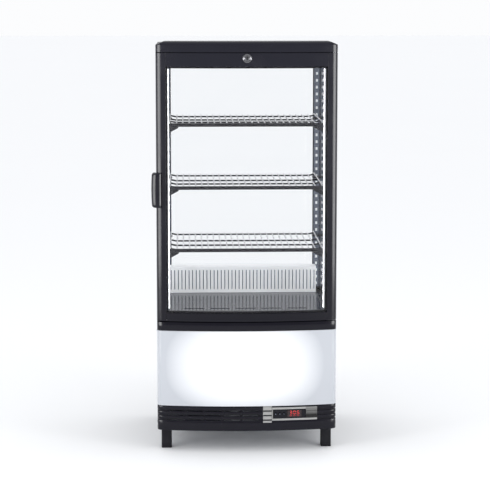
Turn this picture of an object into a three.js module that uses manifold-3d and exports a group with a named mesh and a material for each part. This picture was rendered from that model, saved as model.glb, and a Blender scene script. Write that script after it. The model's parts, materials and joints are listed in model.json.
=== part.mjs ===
// Countertop glass door merchandiser: a four-sided glass drinks cabinet with a curved
// front door over a lit sign panel, a louvred base and its refrigeration.
// Millimetres, +Z up, the door faces -Y. The origin is under the middle of the whole box.
import * as THREE from "three";
import { mergeVertices } from "three/addons/utils/BufferGeometryUtils.js";
import Module from "manifold-3d";

const wasm = await Module();
wasm.setup();

// ---- Driving dimensions ----
const WIDTH = 427; // cap, door and base across
const DEPTH = 390; // crown of the curved front to the rear panel
const BULGE = 20; // crown of the front, ahead of its corners
const CORNER = 9; // round front corners, in plan
const HANDLE_REACH = 11.5; // handle beyond the door's left edge
const LOCK_PROUD = 2.5; // lock bezel ahead of the crown
const GAP = 0.3; // between touching pieces

// Heights above the surface it stands on
const BASE_Z = 52;
const SIGN_Z = 112;
const WAIST_Z = 293;
const SILL_Z = 314.3;
const FLOOR_Z = 332;
const CEILING_Z = 917.5;
const CAP_Z = 951;
const DECK_Z = 965; // flat top, behind the visor
const TOP_Z = 976.5; // crest of the visor
const DOOR_Z0 = 316.3;
const DOOR_Z1 = 949.5;
const DOOR_GLASS_Z0 = 336;
const SHELF_TOPS = [783, 633, 483];

// Planes from front to back
const HALF = WIDTH / 2;
const REAR = DEPTH / 2;
const CROWN = -REAR;
const EDGE = CROWN + BULGE;
const DOOR_BACK = EDGE + 20;
const CABINET_FRONT = DOOR_BACK + 7;
const FRONT_RADIUS = (HALF * HALF + BULGE * BULGE) / (2 * BULGE);

// Cabinet frame
const POST_W = 26.5;
const POST_D = 28;
const BAY_X = HALF - POST_W; // half the clear width between posts
const BAY_Y0 = CABINET_FRONT + POST_D;
const BAY_Y1 = REAR - POST_D;
const STILE_W = 23.5;
const WALL = 3; // moulded and sheet covers
const SIDE_SPLIT_Y = -150; // where the front covers meet the side panels

// Door hinge and lock
const HINGE_X = 205;
const HINGE_Y = -165;
const PIN_R = 4;
const LOCK_Z = 937;
const LOCK_R = 8.5;

// Control window in the base
const BAR_X0 = 38;
const BAR_X1 = 58.5;
const WINDOW_X1 = 141;
const BEZEL_X1 = 167.5;
const LOUVRE_ZS = [100, 89, 78];
const KEY_XS = [68, 78, 88];
const KEY_Z = 92;

// ---- Materials ----
const FINISHES = {
  black_plastic: { color: 0x2b2a31, roughness: 0.38, metalness: 0 },
  black_metal: { color: 0x222226, roughness: 0.5, metalness: 0.1 },
  rubber: { color: 0x161618, roughness: 0.85, metalness: 0 },
  glass: { color: 0xdfeaf0, roughness: 0.05, metalness: 0, transparent: true, opacity: 0.25 },
  chrome: { color: 0xd6d8dc, roughness: 0.15, metalness: 1 },
  grey_strip: { color: 0x6d7683, roughness: 0.4, metalness: 0.2 },
  light: { color: 0xfbfdff, roughness: 0.4, metalness: 0 },
  white_panel: { color: 0xf3f5fa, roughness: 0.25, metalness: 0 },
  white_plastic: { color: 0xe6e8ec, roughness: 0.45, metalness: 0 },
  floor_grey: { color: 0x3b3c46, roughness: 0.25, metalness: 0.2 },
  silver: { color: 0xa9a9a6, roughness: 0.35, metalness: 0.8 },
  steel: { color: 0x9b9da1, roughness: 0.4, metalness: 0.9 },
  aluminium: { color: 0xb9bcc0, roughness: 0.35, metalness: 0.9 },
  display: { color: 0x1a0d10, roughness: 0.1, metalness: 0 },
};

// ---- Solids ----
function toSolid(geometry) {
  const bare = geometry.clone();
  bare.deleteAttribute("normal");
  bare.deleteAttribute("uv");
  const merged = mergeVertices(bare, 1e-3);
  return new wasm.Manifold(
    new wasm.Mesh({
      numProp: 3,
      vertProperties: merged.attributes.position.array,
      triVerts: new Uint32Array(merged.index.array),
    }),
  );
}

function toGeometry(solid) {
  const mesh = solid.getMesh();
  const geometry = new THREE.BufferGeometry();
  geometry.setAttribute("position", new THREE.BufferAttribute(mesh.vertProperties, 3));
  geometry.setIndex(new THREE.BufferAttribute(mesh.triVerts, 1));
  geometry.computeVertexNormals();
  return geometry;
}

function cut(geometry, ...tools) {
  return toGeometry(tools.reduce((s, t) => s.subtract(toSolid(t)), toSolid(geometry)));
}

function join(first, ...others) {
  return toGeometry(others.reduce((s, o) => s.add(toSolid(o)), toSolid(first)));
}

// ---- Shapes ----
function box(x0, x1, y0, y1, z0, z1) {
  const g = new THREE.BoxGeometry(x1 - x0, y1 - y0, z1 - z0);
  return g.translate((x0 + x1) / 2, (y0 + y1) / 2, (z0 + z1) / 2);
}

// A cylinder from one end to the other along Y.
function cylinderY(x, z, radius, y0, y1, sides = 20) {
  const g = new THREE.CylinderGeometry(radius, radius, y1 - y0, sides);
  return g.translate(x, (y0 + y1) / 2, z);
}

function cylinderZ(x, y, radius, z0, z1, sides = 16) {
  const g = new THREE.CylinderGeometry(radius, radius, z1 - z0, sides);
  return g.rotateX(Math.PI / 2).translate(x, y, (z0 + z1) / 2);
}

function prism(points, z0, z1) {
  const shape = new THREE.Shape(points.map(([x, y]) => new THREE.Vector2(x, y)));
  const g = new THREE.ExtrudeGeometry(shape, { depth: z1 - z0, bevelEnabled: false });
  return g.translate(0, 0, z0);
}

// A bar along X, from its outline in Y and Z.
function barX(points, x0, x1) {
  const turn = new THREE.Matrix4().set(0, 0, 1, 0, 1, 0, 0, 0, 0, 1, 0, 0, 0, 0, 0, 1);
  return prism(points, x0, x1).applyMatrix4(turn);
}

// A bar along Y, from its outline in X and Z.
function barY(points, y0, y1) {
  return prism(points, -y1, -y0).rotateX(Math.PI / 2);
}

// The curved front: its depth at x, for a surface that lies inset behind the outer face.
function frontY(x, inset = 0) {
  return CROWN + FRONT_RADIUS - Math.sqrt((FRONT_RADIUS - inset) ** 2 - x * x);
}

function frontPoints(x0, x1, inset, steps) {
  const points = [];
  for (let i = 0; i <= steps; i++) {
    const x = x0 + ((x1 - x0) * i) / steps;
    points.push([x, frontY(x, inset)]);
  }
  return points;
}

// A bar with the curved front ahead of it and a flat back.
function curvedBar(x0, x1, inset, backY, z0, z1, steps = 12) {
  const points = [[x0, backY], ...frontPoints(x0, x1, inset, steps), [x1, backY]];
  return prism(points, z0, z1);
}

// A curved plate of even thickness.
function curvedPlate(x0, x1, inset, thickness, z0, z1, steps = 12) {
  const back = frontPoints(x0, x1, inset + thickness, steps).reverse();
  return prism([...frontPoints(x0, x1, inset, steps), ...back], z0, z1);
}

function roundedCorner([ax, ay], [cx, cy], [bx, by], steps) {
  const points = [];
  for (let i = 0; i <= steps; i++) {
    const t = i / steps;
    const u = 1 - t;
    const x = u * u * ax + 2 * u * t * cx + t * t * bx;
    const y = u * u * ay + 2 * u * t * cy + t * t * by;
    points.push([x, y]);
  }
  return points;
}

// The whole plan of the body: curved front, round front corners, straight sides and back.
function plan(inset, backY) {
  const x = HALF - inset;
  const radius = Math.max(CORNER - inset, 2);
  const cornerY = frontY(x, inset);
  const start = frontY(x - radius, inset);
  const left = roundedCorner([-x, cornerY + radius], [-x, cornerY], [radius - x, start], 3);
  const right = left.map(([px, py]) => [-px, py]).reverse();
  const front = frontPoints(radius - x, x - radius, inset, 14).slice(1, -1);
  return [[-x, backY], ...left, ...front, ...right, [x, backY]];
}

// A cover that follows the front and turns back along both sides.
function wrapCover(thickness, backY, z0, z1) {
  const outer = prism(plan(0, backY), z0, z1);
  const inner = prism(plan(thickness, backY + 10), z0 - 1, z1 + 1);
  return cut(outer, inner);
}

// ---- Scene ----
const merchandiser = new THREE.Group();
const centred = new THREE.Group();
centred.position.set(HANDLE_REACH / 2, LOCK_PROUD / 2, 0);
merchandiser.add(centred);
const cabinet = new THREE.Group();
const door = new THREE.Group();
const shelves = new THREE.Group();
const machinery = new THREE.Group();
centred.add(cabinet, door, shelves, machinery);

function add(group, name, finish, geometry, x = 0, y = 0, z = 0) {
  const mesh = new THREE.Mesh(geometry, new THREE.MeshStandardMaterial(FINISHES[finish]));
  mesh.name = name;
  mesh.position.set(x, y, z);
  group.add(mesh);
  return mesh;
}

const SIDES = [
  ["left", -1],
  ["right", 1],
];

// A box between two distances from the middle, on the side that sign gives.
function sideBox(sign, xIn, xOut, y0, y1, z0, z1) {
  const [x0, x1] = sign < 0 ? [-xOut, -xIn] : [xIn, xOut];
  return box(x0, x1, y0, y1, z0, z1);
}

// ---- Cabinet: cap, top, posts, glass, sill ----
// The cap's front edge rises in a visor with sloped ends; behind it lies a flat deck.
function addCap() {
  const capWall = 2.5;
  const slopeY0 = CROWN + 60;
  const slopeY1 = slopeY0 + 45;
  const endRun = 20;
  const endDrop = 8.3;
  const outer = prism(plan(0, REAR), CAP_Z, TOP_Z - 4.5);
  const shoulder = prism(plan(1.6, REAR - 1.6), TOP_Z - 4.5, TOP_Z - 1.8);
  const crest = prism(plan(4.2, REAR - 4.2), TOP_Z - 1.8, TOP_Z);
  const hollow = prism(plan(capWall, REAR - capWall), CAP_Z - 1, DECK_Z - capWall);
  const behind = [
    [slopeY0, TOP_Z + 0.02],
    [slopeY0, TOP_Z + 5],
    [REAR + 5, TOP_Z + 5],
    [REAR + 5, DECK_Z],
    [slopeY1, DECK_Z],
  ];
  const deckTool = barX(behind, -HALF - 5, HALF + 5);
  const ends = SIDES.map(([, sign]) =>
    barY(
      [
        [sign * (HALF - endRun), TOP_Z + 0.02],
        [sign * (HALF + 2), TOP_Z - endDrop - 0.8],
        [sign * (HALF + 2), TOP_Z + 5],
      ],
      CROWN - 5,
      REAR + 5,
    ),
  );
  const cap = cut(join(outer, shoulder, crest), hollow, deckTool, ...ends);
  add(cabinet, "top_cap", "black_plastic", cap);
}

function addInsulatedTop() {
  const slab = box(-HALF, HALF, CABINET_FRONT, REAR, CEILING_Z, CAP_Z - GAP);
  add(cabinet, "insulated_top", "black_metal", slab);
}

function addPosts() {
  const z0 = FLOOR_Z + GAP;
  const z1 = CEILING_Z - GAP;
  for (const [side, sign] of SIDES) {
    const front = sideBox(sign, BAY_X, HALF, CABINET_FRONT, BAY_Y0, z0, z1);
    add(cabinet, `post_front_${side}`, "black_plastic", front);
    const rear = sideBox(sign, BAY_X, HALF, BAY_Y1, REAR, z0, z1);
    add(cabinet, `post_rear_${side}`, "black_plastic", rear);
  }
}

// Strips that carry the shelves: gussets on the front posts, ledges on the rear ones.
function addPilasters() {
  const z0 = FLOOR_Z + 8;
  const z1 = CEILING_Z - 6;
  const stripT = 1.5;
  const faceX = BAY_X - GAP;
  const gussetW = 26;
  const gussetH = 16;
  const railDrop = 9.8; // from a shelf's top down to its supports
  const ledgeDrop = 7.6;
  const gussetY = -131;
  const gussetT = 5;
  const stripY0 = -135;
  const stripY1 = -121;
  const ledgeX = 178;
  const ledgeY = 146;
  for (const [side, sign] of SIDES) {
    let front = sideBox(sign, faceX - stripT, faceX, stripY0, stripY1, z0, z1);
    let rear = sideBox(sign, BAY_X + 0.5, BAY_X + 9.5, BAY_Y1 - GAP - stripT, BAY_Y1 - GAP, z0, z1);
    for (const top of SHELF_TOPS) {
      const z = top - railDrop;
      const outline = new THREE.Shape();
      outline.moveTo(sign * (faceX - 0.5), z);
      outline.lineTo(sign * (faceX - gussetW), z);
      outline.lineTo(sign * (faceX - gussetW), z - 2);
      outline.lineTo(sign * (faceX - 0.5), z - gussetH);
      const gusset = new THREE.ExtrudeGeometry(outline, { depth: gussetT, bevelEnabled: false });
      gusset.rotateX(Math.PI / 2).translate(0, gussetY + gussetT, 0);
      front = join(front, gusset);
      const ledgeTop = top - ledgeDrop;
      const backY = BAY_Y1 - GAP - 0.5;
      rear = join(rear, sideBox(sign, ledgeX, BAY_X + 9.5, ledgeY, backY, ledgeTop - 4, ledgeTop));
    }
    add(cabinet, `pilaster_front_${side}`, "grey_strip", front);
    add(cabinet, `pilaster_rear_${side}`, "grey_strip", rear);
  }
}

function addGlass() {
  const z0 = FLOOR_Z + GAP;
  const z1 = CEILING_Z - GAP;
  const paneIn = 197;
  const paneOut = 211;
  for (const [side, sign] of SIDES) {
    const pane = sideBox(sign, paneIn, paneOut, BAY_Y0 + GAP, BAY_Y1 - GAP, z0, z1);
    add(cabinet, `side_glass_${side}`, "glass", pane);
  }
  const rear = box(GAP - BAY_X, BAY_X - GAP, REAR - 21, REAR - 7, z0, z1);
  add(cabinet, "rear_glass", "glass", rear);
}

function addLedStrips() {
  const stripW = 4;
  for (const [side, sign] of SIDES) {
    const y0 = CABINET_FRONT + 1;
    const x1 = BAY_X - GAP;
    const strip = sideBox(sign, x1 - stripW, x1, y0, y0 + 10, FLOOR_Z + 8, CEILING_Z - 6);
    add(cabinet, `led_strip_${side}`, "light", strip);
  }
}

function addSill() {
  const outer = box(-HALF, HALF, CABINET_FRONT, REAR, SILL_Z, FLOOR_Z);
  const well = box(-BAY_X, BAY_X, BAY_Y0, BAY_Y1, SILL_Z - 1, FLOOR_Z + 1);
  add(cabinet, "sill_frame", "black_plastic", cut(outer, well));
}

// ---- Cabinet floor and cold air ----
function addFloor() {
  const x = BAY_X - GAP;
  const plate = box(-x, x, BAY_Y0 + GAP, BAY_Y1 - GAP, FLOOR_Z - 4, FLOOR_Z - GAP);
  const supply = box(-150, 150, 134, 158, FLOOR_Z - 6, FLOOR_Z + 1);
  const returns = [];
  for (let i = -2; i <= 2; i++) {
    returns.push(box(i * 62 - 24, i * 62 + 24, -104, -96, FLOOR_Z - 6, FLOOR_Z + 1));
  }
  add(cabinet, "floor_tray", "floor_grey", cut(plate, supply, ...returns));
}

function addDuctCover() {
  const x = BAY_X - 1;
  const y0 = 125;
  const y1 = BAY_Y1 - 2 * GAP - 2;
  const top = 398;
  const outer = box(-x, x, y0, y1, FLOOR_Z, top);
  const hollow = box(-x - 1, x + 1, y0 + 2, y1 + 1, FLOOR_Z - 1, top - 2);
  const slots = [];
  const slotPitch = 30;
  for (let i = -5.5; i <= 5.5; i++) {
    slots.push(box(i * slotPitch - 8, i * slotPitch + 8, y0 - 1, y0 + 3, FLOOR_Z + 8, top - 10));
  }
  add(cabinet, "duct_cover", "white_plastic", cut(outer, hollow, ...slots));
}

function addEvaporatorTub() {
  const outer = box(-205, 205, -148, 186, 222, 310.7);
  const cavity = box(-190, 190, -125, 172, 232, 312);
  add(machinery, "evaporator_tub", "white_plastic", cut(outer, cavity));
}

// A tube-and-fin coil: a block whose fins stand proud on top and below.
function finnedBlock(x0, x1, y0, y1, z0, z1, pitch) {
  const grooves = [];
  const finDepth = (z1 - z0) * 0.22;
  const groove = pitch / 2;
  for (let x = x0 + pitch; x < x1 - groove; x += pitch) {
    grooves.push(box(x, x + groove, y0 - 1, y1 + 1, z1 - finDepth, z1 + 1));
    grooves.push(box(x, x + groove, y0 - 1, y1 + 1, z0 - 1, z0 + finDepth));
  }
  return cut(box(x0, x1, y0, y1, z0, z1), ...grooves);
}

// A square frame with a round throat and a motor held on two arms behind it.
function fanFrame(x, z, half, throat, y0, y1, motorR) {
  const plate = box(x - half, x + half, y0, y1, z - half, z + half);
  const ring = cut(plate, cylinderY(x, z, throat, y0 - 1, y1 + 1, 24));
  const motor = cylinderY(x, z, motorR, y1 - 10, y1, 12);
  const armX = box(x - throat - 1, x + throat + 1, y1 - 4, y1, z - 3, z + 3);
  const armZ = box(x - 3, x + 3, y1 - 4, y1, z - throat - 1, z + throat + 1);
  return join(ring, motor, armX, armZ);
}

// A hub with pitched blades that spins about its own Y axis.
function fanRotor(radius, hubR, length, blades) {
  const pieces = [];
  const span = radius - hubR + 3;
  for (let i = 0; i < blades; i++) {
    const blade = new THREE.BoxGeometry(hubR * 1.3, 1.6, span);
    blade.rotateZ(0.5).translate(0, 0, hubR - 3 + span / 2);
    blade.rotateY((i * 2 * Math.PI) / blades);
    pieces.push(blade);
  }
  return join(cylinderY(0, 0, hubR, -length / 2, length / 2, 16), ...pieces);
}

function addEvaporator() {
  add(machinery, "evaporator_coil", "aluminium", finnedBlock(-170, 170, 0, 90, 238, 304, 17));
  const fanZ = 270;
  add(machinery, "evaporator_fan_frame", "black_plastic", fanFrame(0, fanZ, 37, 33, 112, 136, 13));
  add(machinery, "evaporator_fan", "black_plastic", fanRotor(30, 11, 10, 5), 0, 119, fanZ);
}

// ---- Waist, sign and base covers ----
function addWaist() {
  const z0 = WAIST_Z + GAP;
  const z1 = SILL_Z - GAP;
  const outer = prism(plan(0, REAR), z0, z1);
  const hollow = prism(plan(WALL, REAR - WALL), z0 - 1, z1 - WALL);
  const well = box(-BAY_X, BAY_X, BAY_Y0, BAY_Y1, z0, z1 + 1);
  add(cabinet, "waist_band", "black_plastic", cut(outer, hollow, well));
}

function addSign() {
  add(cabinet, "sign_panel", "white_panel", wrapCover(WALL, SIDE_SPLIT_Y, SIGN_Z, WAIST_Z));
  const board = box(-204, 204, -163, -161, SIGN_Z + 6, WAIST_Z - 6);
  add(cabinet, "sign_light_board", "aluminium", board);
}

function addGrille() {
  const z1 = SIGN_Z - GAP;
  const cover = wrapCover(WALL, SIDE_SPLIT_Y, BASE_Z, z1);
  const tools = [
    box(BAR_X0 - GAP, BAR_X1 + GAP, CROWN - 1, CROWN + 12, 71.3, z1 + 1),
    box(BAR_X1, BEZEL_X1 + GAP, CROWN - 1, CROWN + 18, 76.2, 108.8),
  ];
  const slotHalf = 1.3;
  const columns = [-190, -144, -98, -52, -6, 30];
  for (const z of LOUVRE_ZS) {
    for (let i = 0; i + 1 < columns.length; i++) {
      const x0 = columns[i] + 3;
      const x1 = columns[i + 1] - 3;
      tools.push(box(x0, x1, CROWN - 1, CROWN + 25, z - slotHalf, z + slotHalf));
    }
  }
  add(cabinet, "front_grille", "black_plastic", cut(cover, ...tools));
}

function addControls() {
  const blockLeft = curvedPlate(BAR_X0, BAR_X1, 0, WALL, 71.6, SIGN_Z - GAP - 0.2, 2);
  const frame = curvedPlate(BAR_X1 - 1, BEZEL_X1, 0, WALL, 76.5, 108.5, 6);
  const window = box(BAR_X1 + 2.5, WINDOW_X1, CROWN - 1, CROWN + 16, 81, 103.5);
  add(cabinet, "control_bezel", "silver", cut(join(blockLeft, frame), window));
  const housing = curvedBar(BAR_X1 + 1, WINDOW_X1 + 4, WALL + GAP, -172, 78, 106, 6);
  const bores = KEY_XS.map((x) => cylinderY(x, KEY_Z, 3.6, CROWN, -180, 12));
  add(cabinet, "control_panel", "black_plastic", cut(housing, ...bores));
  const lens = curvedPlate(96, 130, 0.8, WALL - 0.8, 84, 101, 3);
  add(cabinet, "display_lens", "display", lens);
  KEY_XS.forEach((x, i) => {
    const y = frontY(x, 0.8);
    add(cabinet, `key_${i + 1}`, "black_plastic", cylinderY(0, 0, 3.2, 0, 6, 12), x, y, KEY_Z);
  });
}

function addBase() {
  const inner = WALL + GAP;
  add(cabinet, "base_pan", "steel", prism(plan(inner, REAR - inner), BASE_Z, BASE_Z + 2.5));
  for (const [side, sign] of SIDES) {
    const y0 = SIDE_SPLIT_Y + GAP;
    const panel = sideBox(sign, HALF - WALL, HALF, y0, REAR, BASE_Z, WAIST_Z);
    const vents = [];
    for (let i = 0; i < 7; i++) {
      const z = 90 + i * 16;
      vents.push(sideBox(sign, HALF - WALL - 1, HALF + 1, 20, 150, z, z + 6));
    }
    add(cabinet, `side_panel_${side}`, "black_metal", cut(panel, ...vents));
  }
  const x = HALF - inner;
  const rear = box(-x, x, REAR - WALL, REAR, BASE_Z, WAIST_Z);
  const vents = [box(139.7, 180.3, REAR - WALL - 1, REAR + 1, 69.7, 100.3)];
  for (let i = 0; i < 9; i++) {
    const z = 120 + i * 16;
    vents.push(box(-170, -8, REAR - WALL - 1, REAR + 1, z, z + 6));
    vents.push(box(8, 170, REAR - WALL - 1, REAR + 1, z, z + 6));
  }
  add(cabinet, "rear_panel", "black_metal", cut(rear, ...vents));
  const socket = box(140, 180, REAR - 26, REAR, 70, 100);
  const mouth = box(147, 173, REAR - 16, REAR + 1, 76, 94);
  add(cabinet, "power_inlet", "black_plastic", cut(socket, mouth));
}

function addFeet() {
  const footHalf = 12.25;
  const chamfer = 2.5;
  const footX = 192;
  const flat = footHalf - chamfer;
  const corners = [
    [-flat, -footHalf],
    [flat, -footHalf],
    [footHalf, -flat],
    [footHalf, flat],
    [flat, footHalf],
    [-flat, footHalf],
    [-footHalf, flat],
    [-footHalf, -flat],
  ];
  for (const [side, sign] of SIDES) {
    for (const [end, y] of [
      ["front", -133],
      ["rear", 160],
    ]) {
      const foot = prism(corners, 0, BASE_Z - GAP);
      add(cabinet, `foot_${end}_${side}`, "rubber", foot, sign * footX, y, 0);
    }
  }
}

// ---- Refrigeration in the base ----
function addCompressor() {
  const profile = [
    [0, 0],
    [46, 0],
    [58, 10],
    [60, 28],
    [60, 92],
    [55, 114],
    [40, 130],
    [20, 138],
    [0, 140],
  ];
  const pot = new THREE.LatheGeometry(
    profile.map(([r, h]) => new THREE.Vector2(r, h)),
    18,
  );
  pot.rotateX(Math.PI / 2);
  const plate = box(-72, 72, -34, 34, -4, 3);
  const pipe = cylinderZ(66, 0, 5, 20, 128, 8);
  const elbow = box(50, 68, -4, 4, 60, 68);
  add(machinery, "compressor", "black_metal", join(pot, plate, pipe, elbow), -105, 60, 66);
}

function addCondenser() {
  add(machinery, "condenser", "aluminium", finnedBlock(10, 196, 96, 150, 62, 208, 13));
  const fanX = 103;
  const fanZ = 135;
  add(machinery, "condenser_fan_shroud", "black_metal", fanFrame(fanX, fanZ, 70, 64, 62, 92, 20));
  add(machinery, "condenser_fan", "black_plastic", fanRotor(60, 18, 14, 5), fanX, 72, fanZ);
}

// ---- Door ----
function addDoorFrame() {
  const innerX = HALF - STILE_W;
  const profile = plan(0, DOOR_BACK);
  for (const [side, sign] of SIDES) {
    const clip = sideBox(sign, innerX, HALF + 5, CROWN - 5, DOOR_BACK + 5, DOOR_Z0 - 1, DOOR_Z1 + 1);
    let stile = toSolid(prism(profile, DOOR_Z0, DOOR_Z1)).intersect(toSolid(clip));
    if (sign > 0) {
      const bore = PIN_R + 0.35;
      const lower = cylinderZ(HINGE_X, HINGE_Y, bore, DOOR_Z0 - 1, DOOR_Z0 + 17);
      const upper = cylinderZ(HINGE_X, HINGE_Y, bore, DOOR_Z1 - 17, DOOR_Z1 + 1);
      stile = stile.subtract(toSolid(lower)).subtract(toSolid(upper));
    }
    add(door, `door_stile_${side}`, "black_plastic", toGeometry(stile));
  }
  const railX = innerX - GAP;
  const top = curvedBar(-railX, railX, 0, DOOR_BACK, CEILING_Z, DOOR_Z1);
  const lockBore = cylinderY(0, LOCK_Z, LOCK_R + 0.4, CROWN - 2, DOOR_BACK + 1);
  add(door, "door_top_rail", "black_plastic", cut(top, lockBore));
  const bottom = curvedBar(-railX, railX, 0, DOOR_BACK, DOOR_Z0, DOOR_GLASS_Z0);
  add(door, "door_bottom_rail", "black_plastic", bottom);
  const pane = curvedPlate(-railX, railX, 2, 14, DOOR_GLASS_Z0 + GAP, CEILING_Z - GAP, 16);
  add(door, "door_glass", "glass", pane);
}

function addGasket() {
  const y0 = DOOR_BACK + GAP;
  const y1 = CABINET_FRONT - GAP;
  const outer = box(-202, 202, y0, y1, 320, 928);
  const hole = box(-188, 188, y0 - 1, y1 + 1, 334, 916);
  add(door, "door_gasket", "rubber", cut(outer, hole));
}

// An edge pull that wraps the left stile, with a hollow behind it for fingertips.
function addHandle() {
  const outer = -HALF - HANDLE_REACH;
  const points = [
    [-206, EDGE + 10],
    [-HALF - 0.5, EDGE + 10],
    [outer + 7, EDGE + 8],
    [outer + 5, EDGE + 11],
    [outer + 3.5, EDGE + 17],
    [outer + 1, EDGE + 15],
    [outer, EDGE + 9],
    [outer + 0.8, EDGE - 2],
    [outer + 4, EDGE - 8],
    [outer + 10, EDGE - 10.5],
    [-207, EDGE - 10.5],
    [-202, EDGE - 7.5],
    [-201, EDGE - 1],
  ];
  const grip = prism(points, 587, 669);
  const stileRoom = prism(plan(-GAP, DOOR_BACK), 580, 680);
  add(door, "door_handle", "black_plastic", cut(grip, stileRoom));
}

function addLock() {
  const hubEnd = DOOR_BACK + 0.2;
  const barrel = cylinderY(0, LOCK_Z, LOCK_R, CROWN, hubEnd);
  const bezel = cylinderY(0, LOCK_Z, 10.5, CROWN - LOCK_PROUD, CROWN - 0.4);
  const neck = cylinderY(0, LOCK_Z, LOCK_R - 0.5, CROWN - 1, CROWN + 1);
  const keyway = box(-0.9, 0.9, CROWN - LOCK_PROUD - 1, CROWN + 4, LOCK_Z - 4, LOCK_Z + 4);
  add(door, "lock_barrel", "chrome", cut(join(barrel, bezel, neck), keyway));
  const camY = hubEnd + GAP;
  const reach = 21;
  const cam = join(
    cylinderY(0, LOCK_Z, 7, camY, camY + 2, 12),
    box(-reach, 0, camY, camY + 2, LOCK_Z - 5, LOCK_Z + 5),
  );
  add(door, "lock_cam", "steel", cam);
  const strike = box(-13, 13, camY - 7, camY - 4, CAP_Z + GAP, DECK_Z - 4);
  add(cabinet, "lock_strike", "steel", strike);
}

function addHinges() {
  const plateX0 = 190;
  const plateX1 = 209;
  const plateY0 = HINGE_Y - 5;
  const lowerPlate = box(plateX0, plateX1, plateY0, CABINET_FRONT - 1, SILL_Z, SILL_Z + 1.5);
  const lowerPin = cylinderZ(HINGE_X, HINGE_Y, PIN_R, SILL_Z + 1, DOOR_Z0 + 15);
  add(cabinet, "hinge_lower", "steel", join(lowerPlate, lowerPin));
  const plateZ = CAP_Z + GAP;
  const upperPlate = box(plateX0, plateX1, plateY0, CABINET_FRONT + 40, plateZ, plateZ + 2.5);
  const upperPin = cylinderZ(HINGE_X, HINGE_Y, PIN_R, DOOR_Z1 - 15, plateZ + 1);
  add(cabinet, "hinge_upper", "steel", join(upperPlate, upperPin));
}

// ---- Shelves ----
// A grid of wires over cross bars, with a flat rail along the front edge.
function shelfGrid() {
  const halfX = 183;
  const y0 = -127;
  const y1 = 153;
  const wire = 3.2;
  const wireCount = 13;
  const rail = box(-halfX, halfX, y0 - 4, y0, -9.5, -1);
  const pieces = [];
  for (const y of [y1 - 4, 33, -44, -117]) {
    pieces.push(box(-halfX, halfX, y, y + 4, -7, -wire + 0.4));
  }
  for (let i = 0; i < wireCount; i++) {
    const x = -halfX + wire / 2 + ((2 * halfX - wire) * i) / (wireCount - 1);
    pieces.push(box(x - wire / 2, x + wire / 2, y0 - 1, y1, -wire, 0));
  }
  return join(rail, ...pieces);
}

function addShelves() {
  SHELF_TOPS.forEach((z, i) => {
    add(shelves, `wire_shelf_${i + 1}`, "chrome", shelfGrid(), 0, 0, z);
  });
}

addCap();
addInsulatedTop();
addPosts();
addPilasters();
addGlass();
addLedStrips();
addSill();
addFloor();
addDuctCover();
addEvaporatorTub();
addEvaporator();
addWaist();
addSign();
addGrille();
addControls();
addBase();
addFeet();
addCompressor();
addCondenser();
addDoorFrame();
addGasket();
addHandle();
addLock();
addHinges();
addShelves();

export default merchandiser;
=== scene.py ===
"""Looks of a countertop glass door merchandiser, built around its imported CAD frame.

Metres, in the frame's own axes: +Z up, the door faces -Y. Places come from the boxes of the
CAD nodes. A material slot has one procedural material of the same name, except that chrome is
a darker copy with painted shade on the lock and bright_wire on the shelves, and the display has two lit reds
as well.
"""
import json
import math

import bmesh
import bpy
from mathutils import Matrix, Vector

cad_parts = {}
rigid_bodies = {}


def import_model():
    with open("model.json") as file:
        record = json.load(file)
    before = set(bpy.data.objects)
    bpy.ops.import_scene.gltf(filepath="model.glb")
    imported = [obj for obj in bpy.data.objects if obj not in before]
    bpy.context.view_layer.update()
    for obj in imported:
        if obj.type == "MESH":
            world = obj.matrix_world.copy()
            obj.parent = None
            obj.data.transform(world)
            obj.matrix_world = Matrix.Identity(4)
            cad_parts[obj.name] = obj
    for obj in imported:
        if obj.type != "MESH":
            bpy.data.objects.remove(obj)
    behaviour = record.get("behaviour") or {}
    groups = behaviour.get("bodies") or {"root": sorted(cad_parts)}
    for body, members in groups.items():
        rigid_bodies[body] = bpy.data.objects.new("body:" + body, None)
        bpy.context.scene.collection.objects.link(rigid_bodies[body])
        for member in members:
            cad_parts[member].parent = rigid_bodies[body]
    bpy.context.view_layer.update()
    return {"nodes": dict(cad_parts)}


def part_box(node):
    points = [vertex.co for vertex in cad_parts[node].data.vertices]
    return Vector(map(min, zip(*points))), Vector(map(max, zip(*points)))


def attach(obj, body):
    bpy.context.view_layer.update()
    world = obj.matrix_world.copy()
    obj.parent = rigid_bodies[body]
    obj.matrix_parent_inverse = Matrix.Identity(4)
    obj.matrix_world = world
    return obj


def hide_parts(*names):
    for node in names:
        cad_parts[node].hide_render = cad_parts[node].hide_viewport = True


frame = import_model()

MM = 0.001


class Box:
    """The box of a CAD node at rest."""

    def __init__(self, node):
        (self.x0, self.y0, self.z0), (self.x1, self.y1, self.z1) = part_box(node)
        self.cx = (self.x0 + self.x1) / 2
        self.cy = (self.y0 + self.y1) / 2
        self.cz = (self.z0 + self.z1) / 2

    def part(self, **moved):
        """Its six bounds as add_box takes them, some of them moved."""
        return [moved.get(name, getattr(self, name)) for name in ("x0", "x1", "y0", "y1", "z0", "z1")]


# ---- Driving dimensions ----
CAP = Box("top_cap")
CENTRE_X = CAP.cx
CROWN = CAP.y0  # the foremost line of the bowed front
REAR = CAP.y1
HALF = (CAP.x1 - CAP.x0) / 2
BULGE = 20 * MM  # crown of the front, ahead of its corners
CORNER = 13 * MM  # round front corners, in plan
FRONT_RADIUS = (HALF * HALF + BULGE * BULGE) / (2 * BULGE)
DOOR_BACK = Box("door_stile_left").y1
WALL = 3 * MM  # moulded covers
PANE = 4 * MM  # each sheet of the double glazing
SPACER = 6 * MM  # width of the bars between the cabinet's panes
STRIP_T, STRIP_W = 1.5 * MM, 14 * MM  # slotted strips
SIDES = (("left", -1), ("right", 1))
SHELF_BODIES = {1: "shelf_top", 2: "shelf_middle", 3: "shelf_bottom"}

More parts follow.
